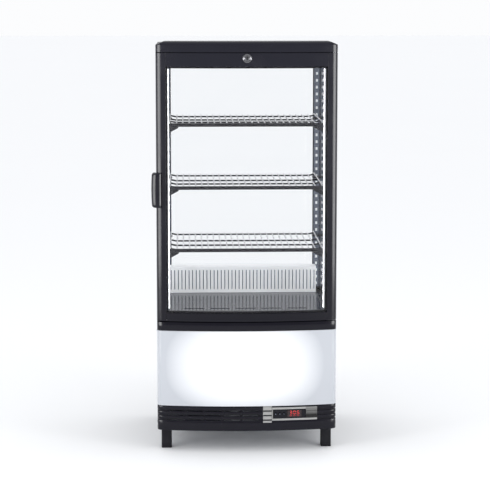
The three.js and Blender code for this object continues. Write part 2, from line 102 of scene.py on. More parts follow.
# ---- Camera ----
CAMERA_DISTANCE = 4.1
CAMERA_HEIGHT = 1.09
CAMERA_LEFT = 0.146  # it stands a little to the left of the middle
CAMERA_LENS = 128.9
CAMERA_SHIFT_Y = -0.075
AIM_X = CENTRE_X - 0.0045
AIM_Z = 0.5845


def add_camera():
    data = bpy.data.cameras.new("camera")
    data.lens = CAMERA_LENS
    data.shift_y = CAMERA_SHIFT_Y
    camera = bpy.data.objects.new("camera", data)
    bpy.context.scene.collection.objects.link(camera)
    edge_y = CROWN + BULGE
    camera.location = (CENTRE_X - CAMERA_LEFT, edge_y - CAMERA_DISTANCE, CAMERA_HEIGHT)
    aim = Vector((AIM_X, edge_y, AIM_Z)) - camera.location
    camera.rotation_mode = "QUATERNION"
    camera.rotation_quaternion = aim.to_track_quat("-Z", "Y")
    bpy.context.scene.camera = camera


add_camera()


# ---- Materials ----
def feed(socket, value):
    """Links a socket, or sets a plain value."""
    if isinstance(value, bpy.types.NodeSocket):
        socket.id_data.links.new(value, socket)
    else:
        socket.default_value = value


def add_node(tree, kind, output, inputs=None, **settings):
    """A node with its inputs fed by name or by number. Returns that output."""
    node = tree.nodes.new(kind)
    for key, value in settings.items():
        setattr(node, key, value)
    for name, value in (inputs or {}).items():
        feed(node.inputs[name], value)
    return node.outputs[output]


class Graph:
    """Node helpers for one material."""

    def __init__(self, name, colour, roughness, **sockets):
        self.material = bpy.data.materials.new(name)
        self.material.use_nodes = True
        self.tree = self.material.node_tree
        self.shader = self.tree.nodes["Principled BSDF"]
        self.coords = self.add("ShaderNodeTexCoord", "Object")
        self.set("Base Color", (*colour, 1))
        self.set("Roughness", roughness)
        for socket, value in sockets.items():
            self.set(socket.replace("_", " "), value)

    def add(self, kind, output, inputs=None, **settings):
        return add_node(self.tree, kind, output, inputs, **settings)

    def set(self, name, value):
        feed(self.shader.inputs[name], value)

    def noise(self, scale, detail=2.0, stretch=(1, 1, 1)):
        vector = self.add("ShaderNodeMapping", "Vector", {"Vector": self.coords, "Scale": stretch})
        return self.add("ShaderNodeTexNoise", "Fac", {"Vector": vector, "Scale": scale, "Detail": detail})

    def cells(self, scale):
        return self.add("ShaderNodeTexVoronoi", "Color", {"Vector": self.coords, "Scale": scale})

    def axis(self, name):
        return self.add("ShaderNodeSeparateXYZ", name, {"Vector": self.coords})

    def math(self, operation, a, b=0.0):
        return self.add("ShaderNodeMath", "Value", {0: a, 1: b}, operation=operation)

    def spread(self, value, low, high, from_low=0.0, from_high=1.0):
        """value, mapped onto low..high and held there."""
        numbers = enumerate((value, from_low, from_high, low, high))
        return self.add("ShaderNodeMapRange", "Result", dict(numbers))

    def blend(self, fac, a, b):
        node = self.tree.nodes.new("ShaderNodeMix")
        node.data_type = "RGBA"
        feed(node.inputs["Factor"], fac)
        colours = [s for s in node.inputs if s.type == "RGBA"]
        for socket, colour in zip(colours, (a, b)):
            feed(socket, (*colour, 1) if isinstance(colour, tuple) else colour)
        return next(s for s in node.outputs if s.type == "RGBA")

    def bump(self, height, distance, strength=1.0):
        inputs = {"Strength": strength, "Distance": distance, "Height": height}
        self.set("Normal", self.add("ShaderNodeBump", "Normal", inputs))

    def worn_edges(self):
        """1 on convex edges, 0 on flats."""
        return self.spread(self.add("ShaderNodeNewGeometry", "Pointiness"), 0.0, 1.0, 0.53, 0.66)

    def mottle(self, tone_noise, tones, rough_noise, rough):
        """Two tones and a range of roughness, each spread by its own noise."""
        self.set("Base Color", self.blend(self.noise(*tone_noise), *tones))
        self.set("Roughness", self.spread(self.noise(*rough_noise), *rough))

    def grain(self, scale, distance, strength, detail=1.0):
        self.bump(self.noise(scale, detail), distance, strength)


def black_plastic():
    """Painted shade: darker towards the foot of the cabinet, lighter towards its top."""
    g = Graph("black_plastic", (0.0015, 0.0015, 0.003), 0.2, Specular_IOR_Level=0.27)
    patches = g.noise(7.0, 3.0)
    low = g.blend(patches, (0.0004, 0.0002, 0.0026), (0.001, 0.0007, 0.0036))
    high = g.blend(patches, (0.0045, 0.0045, 0.0085), (0.0065, 0.0065, 0.011))
    # painted shade: the base colour runs from the darker low tones at the foot to the lighter high tones at
    # the top
    base = g.blend(g.spread(g.axis("Z"), 0.0, 1.0, 0.35, 0.95), low, high)
    g.set("Base Color", g.blend(g.math("MULTIPLY", g.worn_edges(), 0.35), base, (0.014, 0.014, 0.018)))
    g.set("Roughness", g.spread(g.noise(26.0, 4.0), 0.13, 0.23, 0.3, 0.7))
    g.grain(1500.0, 0.00002, 0.35)
    return g.material


def black_metal():
    g = Graph("black_metal", (0.01, 0.01, 0.014), 0.45, Specular_IOR_Level=0.3)
    g.mottle((11.0, 3.0), ((0.007, 0.007, 0.011), (0.014, 0.014, 0.019)), (60.0, 3.0), (0.42, 0.5, 0.3, 0.7))
    g.grain(1300.0, 0.00002, 0.4)
    return g.material


def rubber():
    g = Graph("rubber", (0.01, 0.01, 0.013), 0.6, Specular_IOR_Level=0.3)
    g.mottle((40.0, 4.0), ((0.007, 0.007, 0.01), (0.014, 0.014, 0.018)), (90.0, 3.0), (0.6, 0.85))
    g.grain(1200.0, 0.00005, 0.5, 2.0)
    return g.material


def shaded_chrome():
    # Painted shade: a darkened copy of the chrome, much darker than plated chrome would show
    g = Graph("shaded_chrome", (0.09, 0.09, 0.1), 0.25, Metallic=1.0)
    g.mottle((300.0, 3.0), ((0.11, 0.11, 0.12), (0.22, 0.22, 0.23)), (500.0, 3.0), (0.12, 0.24, 0.3, 0.7))
    g.grain(700.0, 0.00001, 0.3)
    return g.material


def bright_wire():
    g = Graph("bright_wire", (0.9, 0.91, 0.93), 0.3, Metallic=0.5)
    g.mottle((40.0, 3.0), ((0.86, 0.87, 0.9), (0.96, 0.965, 0.98)), (120.0, 3.0), (0.2, 0.4, 0.3, 0.7))
    g.grain(700.0, 0.00001, 0.3)
    return g.material


def grey_strip():
    g = Graph("grey_strip", (0.17, 0.19, 0.24), 0.35, Metallic=0.25)
    g.mottle((24.0, 3.0), ((0.14, 0.16, 0.21), (0.2, 0.225, 0.28)), (80.0, 3.0), (0.26, 0.44))
    g.grain(900.0, 0.00003, 0.4)
    return g.material


def light():
    """The lit diffuser: brighter over each diode."""
    g = Graph("light", (0.95, 0.96, 0.98), 0.4, Emission_Color=(0.96, 0.985, 1.0, 1))
    pitch = 20 * MM
    wave = g.math("SINE", g.math("MULTIPLY", g.axis("Z"), 2 * math.pi / pitch))
    g.set("Emission Strength", g.spread(wave, 4.0, 11.0, -1.0, 1.0))
    g.grain(1100.0, 0.00003, 0.4)
    return g.material


def white_panel():
    """Opal acrylic, lit from behind: full in the middle, weaker to both ends and the foot."""
    panel = Box("sign_panel")
    g = Graph("white_panel", (0.76, 0.79, 0.86), 0.22)
    across = g.math("DIVIDE", g.math("SUBTRACT", g.axis("X"), CENTRE_X - 5 * MM), 0.96 * HALF)
    lamp_z = panel.z0 + 0.55 * (panel.z1 - panel.z0)
    up = g.math("DIVIDE", g.math("SUBTRACT", g.axis("Z"), lamp_z), 0.7 * (panel.z1 - panel.z0))
    wide = g.math("POWER", g.math("ABSOLUTE", across), 2.6)
    tall = g.math("POWER", g.math("ABSOLUTE", up), 2.6)
    cloudy = g.math("ADD", g.math("ADD", wide, tall), g.spread(g.noise(9.0, 2.0), -0.03, 0.03))
    glow = g.spread(cloudy, 1.0, 0.0, -0.02, 0.82)
    g.set("Base Color", g.blend(glow, (0.575, 0.598, 0.64), (0.66, 0.67, 0.69)))
    g.set("Emission Color", (0.97, 0.98, 1.0, 1))
    g.set("Emission Strength", g.math("MULTIPLY", glow, 0.5))
    g.set("Roughness", g.spread(g.noise(50.0, 3.0), 0.16, 0.28))
    g.grain(600.0, 0.00002, 0.3)
    return g.material


def white_plastic():
    # Painted light: a faint even glow stands in for the LED strips' light on these white parts, which are no
    # lamps
    g = Graph("white_plastic", (0.9, 0.91, 0.94), 0.4, Emission_Color=(0.95, 0.98, 1.0, 1))
    g.set("Emission Strength", 0.22)
    g.mottle((14.0, 3.0), ((0.87, 0.885, 0.92), (0.93, 0.94, 0.96)), (70.0, 3.0), (0.32, 0.5))
    g.grain(1000.0, 0.00003, 0.4)
    return g.material


def floor_grey():
    g = Graph("floor_grey", (0.016, 0.017, 0.028), 0.16, Specular_IOR_Level=0.2)
    g.mottle((16.0, 3.0), ((0.013, 0.014, 0.025), (0.019, 0.02, 0.034)), (20.0, 3.0), (0.1, 0.16, 0.3, 0.7))
    g.grain(120.0, 0.000004, 0.3, 2.0)
    return g.material


def silver():
    """Brushed, with painted shade on the block at the bezel's right end, darker towards its foot."""
    g = Graph("silver", (0.24, 0.24, 0.235), 0.36, Metallic=0.7)
    brushed = g.noise(420.0, 3.0, (0.06, 1, 1))
    panel = Box("control_panel")
    bare = g.blend(brushed, (0.36, 0.36, 0.35), (0.49, 0.49, 0.48))
    # painted shade: end_block, foot and ribs mark where the block darkens towards its foot, blended towards
    # near black
    end_block = g.spread(g.axis("X"), 0.0, 0.97, panel.x1 - 5 * MM, panel.x1 - 4 * MM)
    foot = g.spread(g.axis("Z"), 1.0, 0.45, panel.z0 + 9 * MM, panel.z1 - 4 * MM)
    ribs = g.spread(g.axis("Z"), 0.0, 1.0, panel.z0 + 3 * MM, panel.z0 + 3.4 * MM)
    shade = g.math("MULTIPLY", g.math("MULTIPLY", end_block, foot), ribs)
    g.set("Base Color", g.blend(shade, bare, (0.02, 0.02, 0.02)))
    g.set("Roughness", g.spread(brushed, 0.3, 0.46, 0.3, 0.7))
    g.bump(brushed, 0.00004, 0.4)
    return g.material


def steel():
    g = Graph("steel", (0.5, 0.51, 0.53), 0.34, Metallic=1.0)
    spangle = g.cells(160.0)
    g.set("Base Color", g.blend(spangle, (0.42, 0.43, 0.45), (0.6, 0.61, 0.63)))
    g.set("Roughness", g.spread(spangle, 0.28, 0.42))
    g.grain(500.0, 0.00003, 0.4, 2.0)
    return g.material


def aluminium():
    g = Graph("aluminium", (0.66, 0.67, 0.69), 0.32, Metallic=1.0)
    drawn = g.noise(260.0, 3.0, (1, 1, 0.05))
    g.set("Base Color", g.blend(drawn, (0.58, 0.59, 0.61), (0.74, 0.75, 0.77)))
    g.set("Roughness", g.spread(drawn, 0.24, 0.42, 0.3, 0.7))
    g.bump(drawn, 0.00004, 0.4)
    return g.material


def display():
    g = Graph("display", (0.02, 0.006, 0.008), 0.08, Specular_IOR_Level=0.5)
    g.mottle((60.0, 3.0), ((0.014, 0.005, 0.006), (0.028, 0.008, 0.01)), (150.0, 3.0), (0.05, 0.14))
    return g.material


def glowing_red():
    g = Graph("glowing_red", (0.3, 0.01, 0.01), 0.3, Emission_Color=(1.0, 0.03, 0.03, 1))
    g.set("Emission Strength", g.spread(g.noise(400.0, 2.0), 0.7, 1.2))
    return g.material


def dim_red():
    g = Graph("dim_red", (0.12, 0.006, 0.008), 0.3, Emission_Color=(1.0, 0.03, 0.05, 1))
    g.set("Emission Strength", g.spread(g.noise(400.0, 2.0), 0.1, 0.22))
    return g.material


def glass():
    """Thin clear float glass: what it doesn't mirror passes straight through."""
    g = Graph("glass", (0.9, 0.95, 0.94), 0.03)
    g.tree.nodes.remove(g.shader)
    slope = g.math("POWER", g.add("ShaderNodeLayerWeight", "Facing", {"Blend": 0.5}), 5.0)
    mirrored = g.math("ADD", g.math("MULTIPLY", slope, 0.9), 0.008)
    smears = g.blend(g.noise(12.0, 4.0), (0.996, 0.998, 0.999), (1.0, 1.0, 1.0))
    clear = g.add("ShaderNodeBsdfTransparent", "BSDF", {"Color": smears})
    sheen = g.spread(g.noise(30.0, 4.0), 0.01, 0.06, 0.4, 0.7)
    gloss = g.add("ShaderNodeBsdfGlossy", "BSDF", {"Color": (1, 1, 1, 1), "Roughness": sheen})
    mix = g.add("ShaderNodeMixShader", "Shader", {"Fac": mirrored, 1: clear, 2: gloss})
    feed(g.tree.nodes["Material Output"].inputs["Surface"], mix)
    return g.material


FINISHES = {
    make.__name__: make()
    for make in (
        black_plastic, black_metal, rubber, shaded_chrome, bright_wire, grey_strip, light, white_panel,
        white_plastic, floor_grey, silver, steel, aluminium, display, glowing_red, dim_red, glass,
    )
}


# ---- Meshes ----
def add_piece(name, bm, finish, node=None, body="cabinet", bevel=0.0, sharp=35):
    """A piece from a finished bmesh, which stands for a CAD node where one is named.
    bevel rounds its edges; without it, edges of more than sharp degrees stay crisp."""
    bmesh.ops.remove_doubles(bm, verts=bm.verts, dist=1e-6)
    bmesh.ops.recalc_face_normals(bm, faces=bm.faces)
    for face in bm.faces:
        face.smooth = True
    if not bevel:
        limit = math.radians(sharp)
        for edge in bm.edges:
            edge.smooth = len(edge.link_faces) == 2 and edge.calc_face_angle(0) < limit
    mesh = bpy.data.meshes.new(name)
    bm.to_mesh(mesh)
    bm.free()
    mesh.materials.append(FINISHES[finish])
    piece = bpy.data.objects.new(name, mesh)
    bpy.context.scene.collection.objects.link(piece)
    if bevel:
        round_edges(piece, bevel)
    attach(piece, body)
    if node:
        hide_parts(node)
    return piece


def round_edges(piece, width, segments=3):
    bevel = piece.modifiers.new("Rounded edges", "BEVEL")
    bevel.width = width
    bevel.segments = segments
    bevel.limit_method = "ANGLE"
    bevel.angle_limit = math.radians(32)
    bevel.use_clamp_overlap = True
    normals = piece.modifiers.new("Even shading", "WEIGHTED_NORMAL")
    normals.keep_sharp = False


def dress(node, finish, bevel=0.0):
    """Finishes a CAD node as it stands, with its edges rounded."""
    piece = frame["nodes"][node]
    piece.data.materials.clear()
    piece.data.materials.append(FINISHES[finish])
    piece.data.polygons.foreach_set("use_smooth", [True] * len(piece.data.polygons))
    weld = piece.modifiers.new("Joined corners", "WELD")
    weld.merge_threshold = 1e-6
    if bevel:
        round_edges(piece, bevel, 2)
    else:
        split = piece.modifiers.new("Crisp edges", "EDGE_SPLIT")
        split.split_angle = math.radians(35)
        piece.modifiers.new("Even shading", "WEIGHTED_NORMAL")
    return piece


def add_box(bm, x0, x1, y0, y1, z0, z1):
    corners = [(x, y, z) for x in (x0, x1) for y in (y0, y1) for z in (z0, z1)]
    v = [bm.verts.new(c) for c in corners]
    for a, b, c, d in ((0, 1, 3, 2), (4, 6, 7, 5), (0, 4, 5, 1), (2, 3, 7, 6), (0, 2, 6, 4), (1, 5, 7, 3)):
        bm.faces.new((v[a], v[b], v[c], v[d]))


def add_loft(bm, rings, closed=True, capped=True):
    """A skin over rings of points, all of one length. closed joins each ring's ends, and
    capped closes the first and last ring."""
    rows = [[bm.verts.new(p) for p in ring] for ring in rings]
    count = len(rows[0])
    for low, high in zip(rows, rows[1:]):
        for i in range(count if closed else count - 1):
            j = (i + 1) % count
            bm.faces.new((low[i], low[j], high[j], high[i]))
    if capped:
        bm.faces.new(rows[0][::-1])
        bm.faces.new(rows[-1])
    return rows


def add_prism(bm, outline, z0, z1):
    """An outline in plan, extruded upwards."""
    add_loft(bm, [[(x, y, z) for x, y in outline] for z in (z0, z1)])


def circle(sides, start=0.0):
    return [start + 2 * math.pi * k / sides for k in range(sides)]


def add_tube(bm, points, radius, sides=10):
    """A round bar along points, with flat ends."""
    path = [Vector(p) for p in points]
    turns = circle(sides)
    rings = []
    normal = (path[1] - path[0]).orthogonal()
    for i, p in enumerate(path):
        ahead = (path[min(i + 1, len(path) - 1)] - path[max(i - 1, 0)]).normalized()
        normal = (normal - ahead * normal.dot(ahead)).normalized()
        across = ahead.cross(normal)
        rings.append([p + radius * (math.cos(t) * normal + math.sin(t) * across) for t in turns])
    add_loft(bm, rings)


def add_lathe(bm, profile, centre, axis, sides=32):
    """A profile of (radius, distance along axis), turned about the axis through centre."""
    turn = Vector((0, 0, 1)).rotation_difference(Vector(axis)).to_matrix()
    rings = []
    for radius, height in profile:
        ring = [Vector((radius * math.cos(t), radius * math.sin(t), height)) for t in circle(sides)]
        rings.append([Vector(centre) + turn @ p for p in ring])
    add_loft(bm, rings)


def add_pierced_sheet(bm, us, vs, is_hole, thickness, place):
    """A plate on a grid of lines us and vs, without the cells where is_hole(i, j).
    place(u, v, w) gives a point; w runs through the thickness."""
    spots = ((i, j) for i in range(len(us) - 1) for j in range(len(vs) - 1))
    cells = {spot for spot in spots if not is_hole(*spot)}
    verts = {}

    def vert(i, j, w):
        if (i, j, w) not in verts:
            verts[i, j, w] = bm.verts.new(place(us[i], vs[j], w))
        return verts[i, j, w]

    for i, j in cells:
        ring = ((i, j), (i + 1, j), (i + 1, j + 1), (i, j + 1))
        beside = ((i, j - 1), (i + 1, j), (i, j + 1), (i - 1, j))
        bm.faces.new([vert(a, b, 0.0) for a, b in ring])
        bm.faces.new([vert(a, b, thickness) for a, b in ring[::-1]])
        for k, other in enumerate(beside):
            if other not in cells:
                (a, b), (c, d) = ring[k], ring[(k + 1) % 4]
                corners = (vert(a, b, 0.0), vert(a, b, thickness), vert(c, d, thickness), vert(c, d, 0.0))
                bm.faces.new(corners)


def slot_lines(start, end, count, width):
    """Grid lines for a row of evenly spaced slots: every second cell is a slot."""
    pitch = (end - start) / count
    lines = [start]
    for k in range(count):
        middle = start + pitch * (k + 0.5)
        lines += [middle - width / 2, middle + width / 2]
    return lines + [end]


# ---- The bowed front ----
def front_y(x, inset=0.0):
    """Y of the bowed front at x, for a surface that lies inset behind the outer face."""
    return CROWN + FRONT_RADIUS - math.sqrt((FRONT_RADIUS - inset) ** 2 - (x - CENTRE_X) ** 2)


def front_arc(x0, x1, inset, steps=24):
    xs = [x0 + (x1 - x0) * i / steps for i in range(steps + 1)]
    return [(x, front_y(x, inset)) for x in xs]


def corner_arc(start, corner, end, steps=8):
    """A soft bend from start to end, drawn towards corner."""
    points = []
    for i in range(steps + 1):
        t = i / steps
        u = 1 - t
        points.append(tuple(u * u * a + 2 * u * t * c + t * t * b for a, c, b in zip(start, corner, end)))
    return points


def plan(inset, back_y, side_inset=None):
    """The body seen from above: bowed front, round front corners, straight sides.
    inset moves the outline inwards, and side_inset moves its sides by another amount."""
    side = inset if side_inset is None else side_inset
    x = HALF - side
    radius = max(CORNER - side, 2 * MM)
    corner_y = front_y(CENTRE_X + x, inset)
    inner_x = CENTRE_X - x + radius
    start = (CENTRE_X - x, corner_y + radius)
    left = corner_arc(start, (CENTRE_X - x, corner_y), (inner_x, front_y(inner_x, inset)))
    right = [(2 * CENTRE_X - px, py) for px, py in reversed(left)]
    front = front_arc(inner_x, 2 * CENTRE_X - inner_x, inset, 32)[1:-1]
    return [(CENTRE_X - x, back_y), *left, *front, *right, (CENTRE_X + x, back_y)]


def add_wrap(bm, profile, back_y):
    """A cover that follows the front and turns back along both sides. profile is its
    closed section, as (inset, z) points."""
    rings = [[(x, y, z) for x, y in plan(inset, back_y)] for inset, z in profile]
    rows = add_loft(bm, rings, closed=False, capped=False)
    for i in range(len(rings[0]) - 1):
        bm.faces.new((rows[-1][i], rows[-1][i + 1], rows[0][i + 1], rows[0][i]))
    bm.faces.new([row[0] for row in rows])
    bm.faces.new([row[-1] for row in reversed(rows)])


def add_front_strip(bm, x0, x1, profile, steps=10):
    """A piece of the bowed front from x0 to x1, with that closed section."""
    rings = []
    for i in range(steps + 1):
        x = x0 + (x1 - x0) * i / steps
        rings.append([(x, front_y(x, inset), z) for inset, z in profile])
    add_loft(bm, rings)


def add_frame(bm, box, profile):
    """A mitred rectangular frame in the XZ plane. profile is its closed section, as
    (distance in from the outer edge, y) points."""
    rows = []
    for inward, y in profile:
        x0, x1 = box.x0 + inward, box.x1 - inward
        z0, z1 = box.z0 + inward, box.z1 - inward
        rows.append([(x0, y, z0), (x1, y, z0), (x1, y, z1), (x0, y, z1)])
    add_loft(bm, rows + rows[:1], capped=False)


def eased_face(z0, z1, ease, between=()):
    """The front of a section from its foot up, as (inset, z) points, with both edges eased."""
    foot = [(ease, z0), (ease * 0.3, z0 + ease * 0.3), (0.0, z0 + ease)]
    head = [(0.0, z1 - ease), (ease * 0.3, z1 - ease * 0.3), (ease, z1)]
    return [*foot, *between, *head]


def carve(piece, tools):
    """Cuts a bmesh of closed tools out of a piece, ahead of its other modifiers."""
    mesh = bpy.data.meshes.new("tools")
    bmesh.ops.recalc_face_normals(tools, faces=tools.faces)
    tools.to_mesh(mesh)
    tools.free()
    cutter = bpy.data.objects.new("tools", mesh)
    bpy.context.scene.collection.objects.link(cutter)
    cut = piece.modifiers.new("Cut", "BOOLEAN")
    cut.object = cutter
    cut.solver = "EXACT"
    piece.modifiers.move(len(piece.modifiers) - 1, 0)
    bpy.context.view_layer.update()
    others = [m for m in piece.modifiers if m != cut]
    for modifier in others:
        modifier.show_viewport = False
    graph = bpy.context.evaluated_depsgraph_get()
    carved = bpy.data.meshes.new_from_object(piece.evaluated_get(graph))
    for modifier in others:
        modifier.show_viewport = True
    piece.modifiers.remove(cut)
    piece.data = carved
    bpy.data.objects.remove(cutter)


def rounded_square(cx, cy, half, radius, steps=4):
    points = []
    for k, (sx, sy) in enumerate(((1, 1), (-1, 1), (-1, -1), (1, -1))):
        for i in range(steps + 1):
            t = math.pi / 2 * (k + i / steps)
            x = cx + sx * (half - radius) + radius * math.cos(t)
            points.append((x, cy + sy * (half - radius) + radius * math.sin(t)))
    return points


# ---- Cabinet: cap, posts, glass ----
def make_cap():
    """Hollow underneath. Its front edge rises in a visor with sloped ends, ahead of a flat deck."""
    z0, z1 = CAP.z0, CAP.z1
    deck_z = z1 - 11.5 * MM
    slope_y0 = CROWN + 60 * MM
    slope_y1 = slope_y0 + 45 * MM
    shell = 2.5 * MM
    past = 5 * MM  # the tools run on beyond the cap
    crest = (
        # mm: inset at front and back, inset at the sides, depth below the top
        (0.0, 0.0, 9.0), (0.05, 0.9, 8.0), (0.6, 9.0, 4.4), (1.6, 13.5, 2.7), (3.0, 17.0, 1.3),
        (4.8, 20.0, 0.4), (7.0, 23.0, 0.0),
    )
    levels = [(0.3 * MM, 0.3 * MM, z0), (0.0, 0.0, z0 + 0.3 * MM)]
    levels += [(inset * MM, side * MM, z1 - depth * MM) for inset, side, depth in crest]
    bm = bmesh.new()
    add_loft(bm, [[(x, y, z) for x, y in plan(inset, REAR - inset, side)] for inset, side, z in levels])
    cap = add_piece("cap_moulding", bm, "black_plastic", "top_cap", bevel=1.2 * MM)
    behind = (
        (slope_y0, z1), (slope_y0, z1 + past), (REAR + past, z1 + past), (REAR + past, deck_z),
        (slope_y1, deck_z),
    )
    ends = (CENTRE_X - HALF - past, CENTRE_X + HALF + past)
    tools = bmesh.new()
    add_loft(tools, [[(x, y, z) for y, z in behind] for x in ends])
    x0, x1 = CAP.x0 + 2 * shell, CAP.x1 - 2 * shell
    y0, y1 = CROWN + BULGE + 10 * MM, REAR - 2 * shell
    add_box(tools, x0, x1, y0, y1, z0 - 1 * MM, deck_z - shell)
    carve(cap, tools)


def make_waist():
    band = Box("waist_band")
    z0, z1 = band.z0, band.z1
    deck = 20 * MM
    section = [
        *eased_face(z0, z1, 1.2 * MM), (deck, z1), (deck, z1 - WALL), (WALL, z1 - WALL), (WALL, z0),
    ]
    bm = bmesh.new()
    rings = [[(x, y, z) for x, y in plan(inset, REAR - inset)] for inset, z in section]
    add_loft(bm, rings + rings[:1], capped=False)
    add_piece("waist_moulding", bm, "black_plastic", "waist_band")


def make_side_glass(side):
    """Two panes of float glass held apart by a spacer."""
    node = f"side_glass_{side}"
    box = Box(node)
    x0, x1 = box.x0 + PANE, box.x1 - PANE
    bm = bmesh.new()
    add_box(bm, *box.part(x1=x0))
    add_box(bm, *box.part(x0=x1))
    add_piece(f"side_panes_{side}", bm, "glass", node)
    bm = bmesh.new()
    for y0 in (box.y0, box.y1 - SPACER):
        add_box(bm, *box.part(x0=x0, x1=x1, y0=y0, y1=y0 + SPACER))
    for z0 in (box.z0, box.z1 - SPACER):
        add_box(bm, x0, x1, box.y0 + SPACER, box.y1 - SPACER, z0, z0 + SPACER)
    add_piece(f"side_spacer_{side}", bm, "grey_strip", node)


def make_rear_glass():
    box = Box("rear_glass")
    y0, y1 = box.y0 + PANE, box.y1 - PANE
    bm = bmesh.new()
    add_box(bm, *box.part(y1=y0))
    add_box(bm, *box.part(y0=y1))
    add_piece("rear_panes", bm, "glass", "rear_glass")
    bm = bmesh.new()
    add_frame(bm, box, ((0.0, y0), (SPACER, y0), (SPACER, y1), (0.0, y1)))
    add_piece("rear_spacer", bm, "grey_strip", "rear_glass")


def make_pilaster(end, side, sign):
    """A slotted strip on a post, its plugs, and the brackets that carry the shelves."""
    node = f"pilaster_{end}_{side}"
    box = Box(node)
    rows = round((box.z1 - box.z0) / (17.5 * MM))
    vs = slot_lines(box.z0, box.z1, rows, 7 * MM)
    outer, inner = (box.x1, box.x0) if sign > 0 else (box.x0, box.x1)
    if end == "front":
        y0 = box.y1 - STRIP_W
        us = [y0, y0 + 5 * MM, y0 + 9 * MM, box.y1]
    else:
        x0, x1 = sorted((outer, outer - sign * STRIP_W))
        us = [x0, x0 + 4.5 * MM, x1 - 4.5 * MM, x1]

    def place(u, v, w):
        return (outer - sign * w, u, v) if end == "front" else (u, box.y1 - w, v)

    bm = bmesh.new()
    add_pierced_sheet(bm, us, vs, lambda i, j: i == 1 and j % 2 == 1, STRIP_T, place)
    add_piece(f"slotted_strip_{end}_{side}", bm, "grey_strip", node, bevel=0.3 * MM)
    bm = bmesh.new()
    corners = [place(us[1], vs[1], 0.0), place(us[2], vs[-2], 0.5 * MM)]
    (x0, x1), (y0, y1) = [sorted(pair) for pair in zip(*corners)][:2]
    for low, high in zip(vs[1::2], vs[2::2]):
        add_box(bm, x0, x1, y0, y1, low, high)
    add_piece(f"strip_plugs_{end}_{side}", bm, "white_plastic", node)
    bm = bmesh.new()
    for number in SHELF_BODIES:
        top = Box(f"wire_shelf_{number}").z1
        if end == "front":
            seat = top - 9.8 * MM
            root = outer - sign * 0.5 * MM
            gusset = ((root, seat), (inner, seat), (inner, seat - 2.2 * MM), (root, seat - 16 * MM))
            y0 = box.y1 - STRIP_W + 4 * MM
            add_loft(bm, [[(x, y, z) for x, z in gusset] for y in (y0, y0 + 5 * MM)])
        else:
            seat = top - 7.6 * MM
            add_box(bm, *box.part(y1=box.y1 - STRIP_T, z0=seat - 4 * MM, z1=seat))
    add_piece(f"shelf_brackets_{end}_{side}", bm, "black_metal", node, bevel=0.6 * MM)


def make_led_strip(side, sign):
    """A white channel with its lit diffuser standing proud of it."""
    node = f"led_strip_{side}"
    box = Box(node)
    lip = 1.6 * MM
    back, front = (box.x1, box.x0) if sign > 0 else (box.x0, box.x1)
    bed = back - sign * 1.4 * MM
    rim = front + sign * lip
    y0, y1 = box.y0 + lip, box.y1 - lip
    bm = bmesh.new()
    section = (
        (back, box.y0), (back, box.y1), (rim, box.y1), (rim, y1), (bed, y1), (bed, y0), (rim, y0),
        (rim, box.y0),
    )
    add_prism(bm, section, box.z0, box.z1)
    add_piece(f"led_channel_{side}", bm, "white_plastic", node)
    bm = bmesh.new()
    dome = corner_arc((bed, y0), (front - sign * 0.9 * MM, box.cy), (bed, y1))
    add_prism(bm, dome, box.z0 + lip, box.z1 - lip)
    add_piece(f"led_diffuser_{side}", bm, "light", node)


# ---- Cabinet floor ----
def make_duct_cover():
    """The cold air outlet: a white box with a row of upright slots, and a grey sheet behind them as painted
    shade that darkens the slots.
    """
    box = Box("duct_cover")
    sheet = 2 * MM
    margin = 8 * MM
    count = round((box.x1 - box.x0) / (9 * MM))
    us = slot_lines(box.x0, box.x1, count, 2.4 * MM)
    vs = [box.z0, box.z0 + margin, box.z1 - margin, box.z1]

    def place(u, v, w):
        return u, box.y0 + w, v

    bm = bmesh.new()
    add_pierced_sheet(bm, us, vs, lambda i, j: i % 2 == 1 and j == 1, sheet, place)
    add_box(bm, *box.part(y0=box.y0 + sheet, z0=box.z1 - sheet))
    for x in (box.x0, box.x1 - sheet):
        add_box(bm, *box.part(x0=x, x1=x + sheet, y0=box.y0 + sheet, z1=box.z1 - sheet))
    add_piece("air_duct_cover", bm, "white_plastic", "duct_cover", bevel=0.4 * MM)
    # painted shade: a grey sheet behind the slots darkens them
    bm = bmesh.new()
    gap = 1 * MM
    x0, x1 = box.x0 + sheet + gap, box.x1 - sheet - gap
    shade_sheet_y = box.y0 + 7 * MM
    add_box(bm, x0, x1, shade_sheet_y, shade_sheet_y + 1.5 * MM, box.z0 + gap, box.z1 - sheet - gap)
    add_piece("duct_slot_shade", bm, "grey_strip", "duct_cover")


# ---- Sign, grille and controls ----
def make_sign():
    box = Box("sign_panel")
    bm = bmesh.new()
    section = [*eased_face(box.z0, box.z1, 0.9 * MM), (WALL, box.z1), (WALL, box.z0)]
    add_wrap(bm, section, box.y1)
    add_piece("lit_sign_panel", bm, "white_panel", "sign_panel")


GROOVES = [Box("front_grille").z0 + rise * MM for rise in (26, 37, 48)]
GROOVE_HALF = 1.35 * MM
GROOVE_DEPTH = 2.3 * MM
BEZEL = Box("control_bezel")
BAR_X1 = Box("control_panel").x0 - 1 * MM  # the ribbed bar ends here and the frame begins
FRAME_Z0, FRAME_Z1 = 76.5 * MM, 108.5 * MM  # the thin frame round the control panel
FIT = 0.3 * MM


def louvred_section(z0, z1):
    """A section with rounded ribs between the grooves, from z0 up to z1."""
    ribs = []
    for z in GROOVES:
        if z0 < z < z1:
            low, high = z - GROOVE_HALF, z + GROOVE_HALF
            ribs += [
                (0.0, low - 1.6 * MM), (0.35 * MM, low - 0.6 * MM), (1.1 * MM, low - 0.1 * MM),
                (GROOVE_DEPTH, low), (GROOVE_DEPTH, high),
                (1.1 * MM, high + 0.1 * MM), (0.35 * MM, high + 0.6 * MM), (0.0, high + 1.6 * MM),
            ]
    return [(WALL, z0), *eased_face(z0, z1, 0.8 * MM, ribs), (WALL, z1)]


